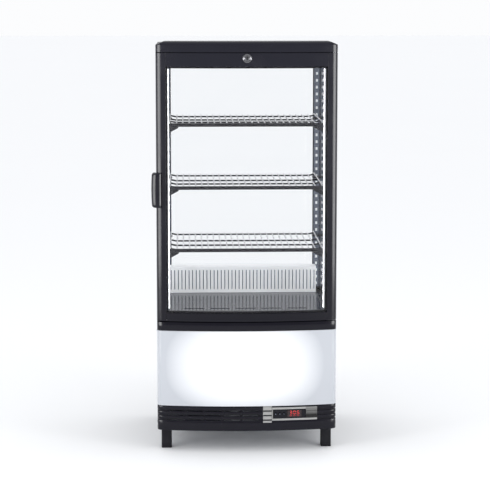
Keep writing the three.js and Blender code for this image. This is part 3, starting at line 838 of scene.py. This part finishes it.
def make_grille():
    """The louvred base front, open behind the bezel and in five slots along each groove."""
    box = Box("front_grille")
    bm = bmesh.new()
    add_wrap(bm, louvred_section(box.z0, box.z1), box.y1)
    grille = add_piece("louvred_grille", bm, "black_plastic", "front_grille", sharp=50)
    tools = bmesh.new()
    near, far = CROWN - 1 * MM, CROWN + BULGE
    add_box(tools, BEZEL.x0 - FIT, BAR_X1 + FIT, near, far, BEZEL.z0 - FIT, box.z1 + FIT)
    add_box(tools, BAR_X1 + 2 * FIT, BEZEL.x1 + FIT, near, far, FRAME_Z0 - FIT, FRAME_Z1 + FIT)
    columns = 5
    slot_x0 = box.x0 + 23.5 * MM
    pitch = (BEZEL.x0 - 8 * MM - slot_x0) / columns
    for z in GROOVES:
        for k in range(columns):
            x0 = slot_x0 + pitch * k + 3 * MM
            x1 = slot_x0 + pitch * (k + 1) - 3 * MM
            add_box(tools, x0, x1, near, far, z - 0.9 * MM, z + 0.9 * MM)
    carve(grille, tools)


def make_controls():
    """A ribbed bar, then a thin frame round the control panel with a ribbed block at its end."""
    lens = Box("display_lens")
    frame_x0 = BAR_X1 + 1 * MM
    block_x0 = Box("control_panel").x1 - 4 * MM
    window_z0, window_z1 = 81 * MM, 103.5 * MM
    ease = 0.4 * MM
    bm = bmesh.new()
    add_front_strip(bm, BEZEL.x0, BAR_X1, louvred_section(BEZEL.z0, BEZEL.z1), 3)
    add_front_strip(bm, block_x0, BEZEL.x1, louvred_section(window_z0, window_z1), 3)
    for z0, z1 in ((FRAME_Z0, window_z0), (window_z1, FRAME_Z1)):
        rail = ((0.0, z0 + ease), (ease, z0), (WALL, z0), (WALL, z1), (ease, z1), (0.0, z1 - ease))
        add_front_strip(bm, frame_x0, BEZEL.x1, rail)
    edge = ((0.0, window_z0), (WALL, window_z0), (WALL, window_z1), (0.0, window_z1))
    add_front_strip(bm, frame_x0, frame_x0 + 1.6 * MM, edge, 1)
    add_piece("ribbed_bezel", bm, "silver", "control_bezel")
    # painted shade: black strips at the bottoms of the bar's grooves darken them
    bm = bmesh.new()
    front, back = GROOVE_DEPTH - 0.5 * MM, GROOVE_DEPTH - 0.05 * MM
    for z in GROOVES:
        low, high = z - GROOVE_HALF + 0.1 * MM, z + GROOVE_HALF - 0.1 * MM
        line = ((front, low), (back, low), (back, high), (front, high))
        add_front_strip(bm, BEZEL.x0 + FIT, BAR_X1 - FIT, line, 3)
    add_piece("bezel_groove_shade", bm, "black_plastic", "control_bezel")
    dress("control_panel", "black_plastic", 0.4 * MM)
    bm = bmesh.new()
    section = (
        (0.8 * MM, lens.z0 + 0.5 * MM), (1.3 * MM, lens.z0), (WALL, lens.z0),
        (WALL, lens.z1), (1.3 * MM, lens.z1), (0.8 * MM, lens.z1 - 0.5 * MM),
    )
    add_front_strip(bm, lens.x0, lens.x1, section)
    add_piece("display_window", bm, "display", "display_lens")


SEGMENTS = {
    # digit: lit segments, as top, upper left, upper right, middle, lower left, lower right, foot
    "3": (1, 0, 1, 1, 0, 1, 1),
    "0": (1, 1, 1, 0, 1, 1, 1),
    "5": (1, 1, 0, 1, 0, 1, 1),
}


def make_digits():
    """A temperature reading in seven-segment digits, over a row of small dim lights."""
    lens = Box("display_lens")
    digit_w, digit_h = 5.6 * MM, 8.6 * MM
    half = digit_h / 2
    pitch = 8.6 * MM
    bar = 1.0 * MM
    end = bar + 0.25 * MM  # a level bar stays clear of the upright ones
    inset = 0.62 * MM
    z0 = lens.cz - half + 2.6 * MM

    def add_bar(x0, x1, low, high):
        section = ((inset, low), (inset + 0.15 * MM, low), (inset + 0.15 * MM, high), (inset, high))
        add_front_strip(bm, x0, x1, section, 1)

    bm = bmesh.new()
    for k, digit in enumerate("305"):
        x = lens.cx + (k - 1) * pitch - digit_w / 2
        top, upper_left, upper_right, middle, lower_left, lower_right, foot = SEGMENTS[digit]
        for lit, z in ((foot, z0), (middle, z0 + half - bar / 2), (top, z0 + digit_h - bar)):
            if lit:
                add_bar(x + end, x + digit_w - end, z, z + bar)
        for lit, dx, dz in (
            (upper_left, 0, half), (upper_right, digit_w - bar, half),
            (lower_left, 0, 0), (lower_right, digit_w - bar, 0),
        ):
            if lit:
                add_bar(x + dx, x + dx + bar, z0 + dz + bar, z0 + dz + half - bar)
    point_x = lens.cx + pitch / 2 - bar / 2
    add_bar(point_x, point_x + bar, z0, z0 + bar)
    add_piece("display_digits", bm, "glowing_red")
    bm = bmesh.new()
    light_z = lens.z0 + 2.4 * MM
    for k in (-1, 0, 1):
        x = lens.cx + k * pitch - digit_w / 2
        add_bar(x, x + digit_w, light_z, light_z + 2.2 * MM)
    add_piece("status_lights", bm, "dim_red")


def make_keys():
    """Round keys: a dot on the first, then a downward and an upward arrow."""
    keys = (("key_set", 16, 0.0), ("key_down", 3, -math.pi / 2), ("key_up", 3, math.pi / 2))
    size = 1.3 * MM
    for number, (body, corners, turn) in enumerate(keys, 1):
        box = Box(f"key_{number}")
        radius = (box.z1 - box.z0) / 2
        depth = box.y1 - box.y0
        profile = [
            (radius, 0.0), (radius, depth - 0.8 * MM), (radius - 0.25 * MM, depth - 0.3 * MM),
            (radius * 0.6, depth - 0.05 * MM), (0.3 * MM, depth),
        ]
        bm = bmesh.new()
        add_lathe(bm, profile, (box.cx, box.y1, box.cz), (0, -1, 0), 24)
        add_piece(f"push_key_{number}", bm, "black_plastic", f"key_{number}", body)
        bm = bmesh.new()
        mark = [(box.cx + size * math.cos(t), box.cz + size * math.sin(t)) for t in circle(corners, turn)]
        faces = (box.y0 - 0.12 * MM, box.y0 + 0.1 * MM)
        add_loft(bm, [[(x, y, z) for x, z in mark] for y in faces])
        add_piece(f"key_mark_{number}", bm, "grey_strip", body=body)


# ---- Base: feet, panels, inlet ----
def make_feet():
    """Square blocks with a shallow groove above the sole."""
    groove = 0.7 * MM
    for node in ("foot_front_left", "foot_front_right", "foot_rear_left", "foot_rear_right"):
        box = Box(node)
        half = (box.x1 - box.x0) / 2
        levels = (
            (1.6 * MM, 0.0), (0.5 * MM, 0.3 * MM), (0.0, 1.4 * MM), (0.0, 5.4 * MM),
            (groove, 5.8 * MM), (groove, 7.0 * MM), (0.0, 7.4 * MM), (0.0, box.z1),
        )
        bm = bmesh.new()
        rings = []
        for inset, z in levels:
            outline = rounded_square(box.cx, box.cy, half - inset, 2.6 * MM)
            rings.append([(x, y, z) for x, y in outline])
        add_loft(bm, rings)
        add_piece(f"block_{node}", bm, "rubber", node)


def make_screws():
    """Pan heads that hold the rear and side panels."""
    rear = Box("rear_panel")
    margin = 9 * MM
    head = (
        (3.4 * MM, 0.0), (3.3 * MM, 0.7 * MM), (2.6 * MM, 1.3 * MM), (1.2 * MM, 1.55 * MM),
        (0.9 * MM, 0.9 * MM),
    )
    bm = bmesh.new()
    for x in (rear.x0 + margin, CENTRE_X, rear.x1 - margin):
        for z in (rear.z0 + margin, rear.z1 - margin):
            add_lathe(bm, head, (x, rear.y1, z), (0, 1, 0), 16)
    for side, sign in SIDES:
        panel = Box(f"side_panel_{side}")
        x = panel.x1 if sign > 0 else panel.x0
        for y in (panel.y0 + 3 * margin, panel.y1 - 2 * margin):
            for z in (panel.z0 + margin, panel.z1 - margin):
                add_lathe(bm, head, (x, y, z), (sign, 0, 0), 16)
    add_piece("panel_screws", bm, "steel")


def make_inlet_pins():
    box = Box("power_inlet")
    half_w, half_h = 1.0 * MM, 2.1 * MM
    root = box.y1 - 16 * MM
    bm = bmesh.new()
    for dx, dz in ((-7 * MM, -1.5 * MM), (0.0, 2.2 * MM), (7 * MM, -1.5 * MM)):
        x, z = box.cx + dx, box.cz + dz
        add_box(bm, x - half_w, x + half_w, root, root + 12 * MM, z - half_h, z + half_h)
    add_piece("inlet_pins", bm, "steel", bevel=0.4 * MM)


# ---- Refrigeration ----
def make_fin_pack(node, name, tube_rows):
    """A stack of thin fins on rows of tube with bends at both ends."""
    box = Box(node)
    fin_t = 0.5 * MM
    pitch = 4 * MM
    radius = 4 * MM
    end = 9 * MM  # the bends stand beyond the fins
    x0, x1 = box.x0 + end, box.x1 - end
    bm = bmesh.new()
    for k in range(int((x1 - x0) / pitch) + 1):
        add_box(bm, *box.part(x0=x0 + k * pitch, x1=x0 + k * pitch + fin_t))
    add_piece(f"{name}_fins", bm, "aluminium", node)
    bm = bmesh.new()
    half = (box.y1 - box.y0) / 2 - 14 * MM
    half_turn = [math.pi * i / 10 for i in range(11)]
    for row in range(tube_rows):
        z = box.z0 + (row + 0.5) * (box.z1 - box.z0) / tube_rows
        for x, out in ((x0, -1), (x1, 1)):
            reach = out * (end - radius)
            bend = [(x + reach * math.sin(t), box.cy - half * math.cos(t), z) for t in half_turn]
            add_tube(bm, bend, radius)
        for y in (box.cy - half, box.cy + half):
            add_tube(bm, [(x0, y, z), (x1, y, z)], radius)
    add_piece(f"{name}_tubes", bm, "aluminium", node)


def make_fan(node, carrier):
    """A moulded hub with five swept, pitched blades, on the axis of the frame that carries it."""
    box = Box(node)
    axis_z = Box(carrier).cz
    radius = max(box.x1 - box.x0, box.z1 - box.z0) / 2 - 1 * MM
    hub = radius * 0.34
    root = hub * 0.92
    half = (box.y1 - box.y0) / 2
    skin = 0.5 * MM
    profile = (
        (hub * 0.9, 0.0), (hub, 0.6 * MM), (hub, 1.7 * half), (hub * 0.9, 2 * half - 0.3 * MM),
        (hub * 0.3, 2 * half),
    )
    bm = bmesh.new()
    add_lathe(bm, profile, (box.cx, box.y1, axis_z), (0, -1, 0), 28)
    blades, steps = 5, 8
    for start in circle(blades):
        rings = []
        for i in range(steps + 1):
            out = i / steps
            r = root + (radius - root) * out
            middle = start + 0.35 * out
            spread = 0.42 - 0.06 * out
            pitch = half * (0.85 - 0.25 * out)
            edge = ((-1, pitch), (0, 0.1 * pitch), (1, -pitch))
            ring = [(middle + t * spread, y + skin) for t, y in edge]
            ring += [(middle + t * spread, y - skin) for t, y in reversed(edge)]
            rings.append([(box.cx + r * math.sin(a), box.cy + y, axis_z + r * math.cos(a)) for a, y in ring])
        add_loft(bm, rings)
    add_piece(f"{node}_rotor", bm, "black_plastic", node, node)


# ---- Door ----
def make_stile(side, sign):
    """Its plan runs from the inner edge round the cabinet's front corner to the back."""
    node = f"door_stile_{side}"
    box = Box(node)
    inner_x = CENTRE_X - min(abs(box.x0 - CENTRE_X), abs(box.x1 - CENTRE_X))
    outline = [(x, y) for x, y in plan(0.0, DOOR_BACK) if x < inner_x]
    outline += [(inner_x, front_y(inner_x)), (inner_x, DOOR_BACK)]
    if sign > 0:
        outline = [(2 * CENTRE_X - x, y) for x, y in reversed(outline)]
    bm = bmesh.new()
    add_prism(bm, outline, box.z0, box.z1)
    add_piece(f"moulded_stile_{side}", bm, "black_plastic", node, "door", bevel=0.7 * MM)


def curved_plate(bm, x0, x1, inset, thickness, z0, z1, steps=28):
    """A bowed plate, thickness deep, whose face lies inset behind the front."""
    outline = front_arc(x0, x1, inset, steps) + front_arc(x1, x0, inset + thickness, steps)
    add_prism(bm, outline, z0, z1)


def make_door_glass():
    """Two bowed panes with a dark spacer between them, showing as a line round the edge."""
    box = Box("door_glass")
    outer, inner = 2 * MM, 12 * MM
    bm = bmesh.new()
    for inset in (outer, inner):
        curved_plate(bm, box.x0, box.x1, inset, PANE, box.z0, box.z1)
    add_piece("door_panes", bm, "glass", "door_glass", "door")
    bm = bmesh.new()
    rail = 3.6 * MM
    inset = outer + PANE
    depth = inner - inset
    for z0 in (box.z0, box.z1 - rail):
        curved_plate(bm, box.x0, box.x1, inset, depth, z0, z0 + rail)
    for x0 in (box.x0, box.x1 - rail):
        curved_plate(bm, x0, x0 + rail, inset, depth, box.z0 + rail, box.z1 - rail, 2)
    add_piece("door_spacer", bm, "rubber", "door_glass", "door")


def make_gasket():
    """A bellows seal, seen as two soft folds."""
    box = Box("door_gasket")
    folds = (
        # mm in from the outer edge, share of the depth
        (1.0, 0.0), (13.0, 0.0), (13.6, 0.2), (12.2, 0.42), (13.9, 0.62), (13.6, 0.92), (12.6, 1.0),
        (1.4, 1.0), (0.4, 0.92), (0.1, 0.62), (1.8, 0.42), (0.4, 0.2),
    )
    bm = bmesh.new()
    add_frame(bm, box, [(inward * MM, box.y0 + (box.y1 - box.y0) * rise) for inward, rise in folds])
    add_piece("bellows_gasket", bm, "rubber", "door_gasket", "door", sharp=60)


def make_handle():
    """An edge pull: a pad that bows outwards beyond the stile, hooked behind for fingers."""
    box = Box("door_handle")
    edge_y = CROWN + BULGE
    side_x = CENTRE_X - HALF
    outer, front = box.x0, box.y0
    shoulder = (outer, edge_y + 4 * MM)
    outline = corner_arc((side_x + 4 * MM, front), (outer, front), shoulder)
    outline += corner_arc(shoulder, (outer + 0.3 * MM, box.y1), (outer + 3.5 * MM, box.y1), 4)
    outline += [
        (outer + 5 * MM, edge_y + 11 * MM), (outer + 7 * MM, edge_y + 8 * MM), (side_x, edge_y + 10 * MM),
        (box.x1, edge_y + 10 * MM), (box.x1, edge_y), (box.x1 - 1 * MM, front + 3 * MM),
        (box.x1 - 6 * MM, front),
    ]
    height = box.z1 - box.z0
    levels = [0.0, 0.004, 0.012, 0.026, 0.05, 0.09, 0.2, 0.35, 0.5]
    levels += [1 - t for t in reversed(levels[:-1])]
    bm = bmesh.new()
    rings = []
    for t in levels:
        near_end = min(t, 1 - t) * height
        round_off = math.sqrt(max(0.0, 1 - (1 - min(near_end / (6.5 * MM), 1)) ** 2))
        reach = 0.74 + 0.2 * round_off + 0.06 * math.sin(math.pi * t)
        depth = 0.8 + 0.2 * round_off
        z = box.z0 + t * height
        rings.append([(box.x1 + (x - box.x1) * reach, edge_y + (y - edge_y) * depth, z) for x, y in outline])
    add_loft(bm, rings)
    handle = add_piece("edge_pull", bm, "black_plastic", "door_handle", "door", sharp=42)
    tools = bmesh.new()
    add_prism(tools, plan(-0.3 * MM, DOOR_BACK), box.z0 - 5 * MM, box.z1 + 5 * MM)
    carve(handle, tools)


def make_lock():
    """A cam lock: plated bezel, recessed plug and keyway."""
    box = Box("lock_barrel")
    length = box.y1 - box.y0
    bezel = (
        # radius, distance behind the face, in mm
        (8.4, 2.2), (10.4, 2.1), (10.5, 1.3), (10.2, 0.5), (9.3, 0.05), (8.4, 0.0), (7.6, 0.3),
        (7.2, 1.1), (6.7, 1.2), (6.4, 0.7), (5.6, 0.45), (0.4, 0.4),
    )
    profile = [(8.4 * MM, 0.0), *((radius * MM, length - depth * MM) for radius, depth in bezel)]
    bm = bmesh.new()
    add_lathe(bm, profile, (box.cx, box.y1, box.cz), (0, -1, 0), 48)
    lock = add_piece("shaded_chrome_lock", bm, "shaded_chrome", "lock_barrel", "lock", sharp=50)
    x0, x1 = box.cx - 1 * MM, box.cx + 1 * MM
    z0, z1 = box.cz - 4 * MM, box.cz + 4 * MM
    tools = bmesh.new()
    add_box(tools, x0, x1, box.y0 - 1 * MM, box.y0 + 6 * MM, z0, z1)
    carve(lock, tools)
    # painted shade: a black block fills the keyway's slot behind its mouth and darkens it
    bm = bmesh.new()
    add_box(bm, x0, x1, box.y0 + 1.4 * MM, box.y0 + 5.9 * MM, z0, z1)
    add_piece("keyway", bm, "black_metal", body="lock")


# ---- Shelves ----
def make_shelf(number, body):
    """Plated wires on dark cross bars whose ends turn up, behind a flat front rail."""
    node = f"wire_shelf_{number}"
    box = Box(node)
    wire_r, bar_r = 1.6 * MM, 2.0 * MM
    spacing = 15 * MM
    inner_wires = 23
    rise = 3 * MM  # of the outermost wires, and of the bars' ends under them
    half = box.x1 - box.cx
    y0, y1 = box.y0 + 2 * MM, box.y1
    z = box.z1 - wire_r
    bm = bmesh.new()
    for k in range(inner_wires):
        x = box.cx + (k - (inner_wires - 1) / 2) * spacing
        add_tube(bm, [(x, y0, z), (x, y1, z)], wire_r)
    for sign in (-1, 1):
        x = box.cx + sign * (half - wire_r)
        path = [(x, y0, z), (x, y0 + 10 * MM, z), (x, y0 + 22 * MM, z + rise), (x, y1, z + rise)]
        add_tube(bm, path, wire_r)
    add_piece(f"shelf_wires_{number}", bm, "bright_wire", node, body)
    bm = bmesh.new()
    z = box.z1 - 2 * wire_r - bar_r
    for y in (box.y0 + 16 * MM, box.y0 + 89 * MM, box.y0 + 166 * MM, box.y1 - bar_r):
        ends = []
        for sign in (-1, 1):
            tip = box.cx + sign * (half - bar_r / 2)
            turn = tip - sign * 13 * MM
            ends.append([(tip, y, z + rise), (turn, y, z + 0.2 * MM), (turn - sign * 4 * MM, y, z)])
        add_tube(bm, ends[0] + ends[1][::-1], bar_r)
    add_piece(f"shelf_cross_bars_{number}", bm, "black_metal", node, body)
    bm = bmesh.new()
    add_box(bm, *box.part(y1=box.y0 + 4 * MM, z1=box.z1 - 1 * MM))
    add_piece(f"shelf_front_rail_{number}", bm, "black_metal", node, body, bevel=1.3 * MM)


make_cap()
make_waist()
for side, sign in SIDES:
    make_side_glass(side)
    for end in ("front", "rear"):
        make_pilaster(end, side, sign)
    make_led_strip(side, sign)
make_rear_glass()
make_duct_cover()
make_sign()
make_grille()
make_controls()
make_digits()
make_keys()
make_feet()
make_screws()
make_inlet_pins()
make_fin_pack("evaporator_coil", "evaporator", 3)
make_fin_pack("condenser", "condenser", 5)
make_fan("evaporator_fan", "evaporator_fan_frame")
make_fan("condenser_fan", "condenser_fan_shroud")
for side, sign in SIDES:
    make_stile(side, sign)
make_door_glass()
make_gasket()
make_handle()
make_lock()
for number, body in SHELF_BODIES.items():
    make_shelf(number, body)

# CAD nodes whose shape is right: finish, radius of the edges in mm, nodes
DRESSED = (
    ("black_metal", 0.8, "insulated_top"),
    ("black_plastic", 1.2, "post_front_left post_front_right"),
    ("black_plastic", 1.6, "post_rear_left post_rear_right"),
    ("black_plastic", 1.0, "sill_frame"),
    ("floor_grey", 0.6, "floor_tray"),
    ("white_plastic", 1.0, "evaporator_tub"),
    ("black_plastic", 0.4, "evaporator_fan_frame"),
    ("aluminium", 0.3, "sign_light_board"),
    ("steel", 0.3, "base_pan"),
    ("black_metal", 0.5, "side_panel_left side_panel_right rear_panel"),
    ("black_plastic", 0.8, "power_inlet"),
    ("black_metal", 0.0, "compressor"),
    ("black_metal", 0.5, "condenser_fan_shroud"),
    ("black_plastic", 0.7, "door_top_rail door_bottom_rail"),
    ("steel", 0.3, "lock_cam lock_strike"),
    ("steel", 0.2, "hinge_lower hinge_upper"),
)
for finish, radius, nodes in DRESSED:
    for node in nodes.split():
        dress(node, finish, radius * MM)


# ---- Floor and light ----
def add_floor():
    reach = 40
    corners = ((-reach, -reach, 0), (reach, -reach, 0), (reach, reach, 0), (-reach, reach, 0))
    bm = bmesh.new()
    bm.faces.new([bm.verts.new(corner) for corner in corners])
    mesh = bpy.data.meshes.new("floor")
    bm.to_mesh(mesh)
    bm.free()
    g = Graph("floor_white", (0.94, 0.945, 0.952), 0.7, Specular_IOR_Level=0.2)
    g.set("Base Color", g.blend(g.noise(0.6, 2.0), (0.94, 0.945, 0.952), (0.95, 0.955, 0.962)))
    mesh.materials.append(g.material)
    floor = bpy.data.objects.new("floor", mesh)
    bpy.context.scene.collection.objects.link(floor)


def add_world():
    """One pale tone to the camera, and a dome that brightens upwards to everything else."""
    world = bpy.data.worlds.new("studio")
    world.use_nodes = True
    tree = world.node_tree
    seen = tree.nodes["Background"]
    seen.inputs["Color"].default_value = (0.975, 0.98, 0.99, 1)
    direction = add_node(tree, "ShaderNodeTexCoord", "Generated")
    up = add_node(tree, "ShaderNodeSeparateXYZ", "Z", {"Vector": direction})
    overhead = add_node(tree, "ShaderNodeMapRange", "Result", {"Value": up, "To Min": 0.42, "To Max": 1.36})
    dome = {"Color": (0.97, 0.98, 1.0, 1), "Strength": overhead}
    lit = add_node(tree, "ShaderNodeBackground", "Background", dome)
    to_camera = add_node(tree, "ShaderNodeLightPath", "Is Camera Ray")
    shown = {"Fac": to_camera, 1: lit, 2: seen.outputs["Background"]}
    mix = add_node(tree, "ShaderNodeMixShader", "Shader", shown)
    feed(tree.nodes["World Output"].inputs["Surface"], mix)
    bpy.context.scene.world = world


def add_softbox(name, place, width, height, power, receivers=None):
    """A soft rectangular lamp aimed at MIDDLE; receivers, where given, are all that it lights."""
    data = bpy.data.lights.new(name, "AREA")
    data.shape = "RECTANGLE"
    data.size, data.size_y = width, height
    data.energy = power
    lamp = bpy.data.objects.new(name, data)
    lamp.location = place
    lamp.visible_camera = False
    lamp.rotation_mode = "QUATERNION"
    lamp.rotation_quaternion = (MIDDLE - Vector(place)).to_track_quat("-Z", "Y")
    bpy.context.scene.collection.objects.link(lamp)
    lamp.light_linking.receiver_collection = receivers


def gather(*finishes):
    """The pieces with those finishes, as a collection outside the scene."""
    group = bpy.data.collections.new("dark_pieces")
    wanted = [FINISHES[finish] for finish in finishes]
    for piece in bpy.context.scene.objects:
        if piece.type == "MESH" and piece.data.materials and piece.data.materials[0] in wanted:
            group.objects.link(piece)
    return group


add_floor()
add_world()
MIDDLE = Vector((CENTRE_X, 0, 0.5))
DARK = gather("black_plastic", "shaded_chrome")
add_softbox("softbox_top", (0.2, -0.6, 3.0), 2.6, 2.0, 3)
add_softbox("softbox_left", (-2.2, -1.7, 0.9), 0.6, 2.4, 20)
add_softbox("softbox_right", (2.2, -1.7, 0.9), 0.6, 2.4, 20)
add_softbox("rim_left", (-2.3, -1.5, 0.37), 2.6, 1.9, 132, DARK)
add_softbox("rim_right", (2.3, -1.5, 0.37), 2.2, 1.9, 124, DARK)
bpy.context.scene.view_settings.view_transform = "Standard"
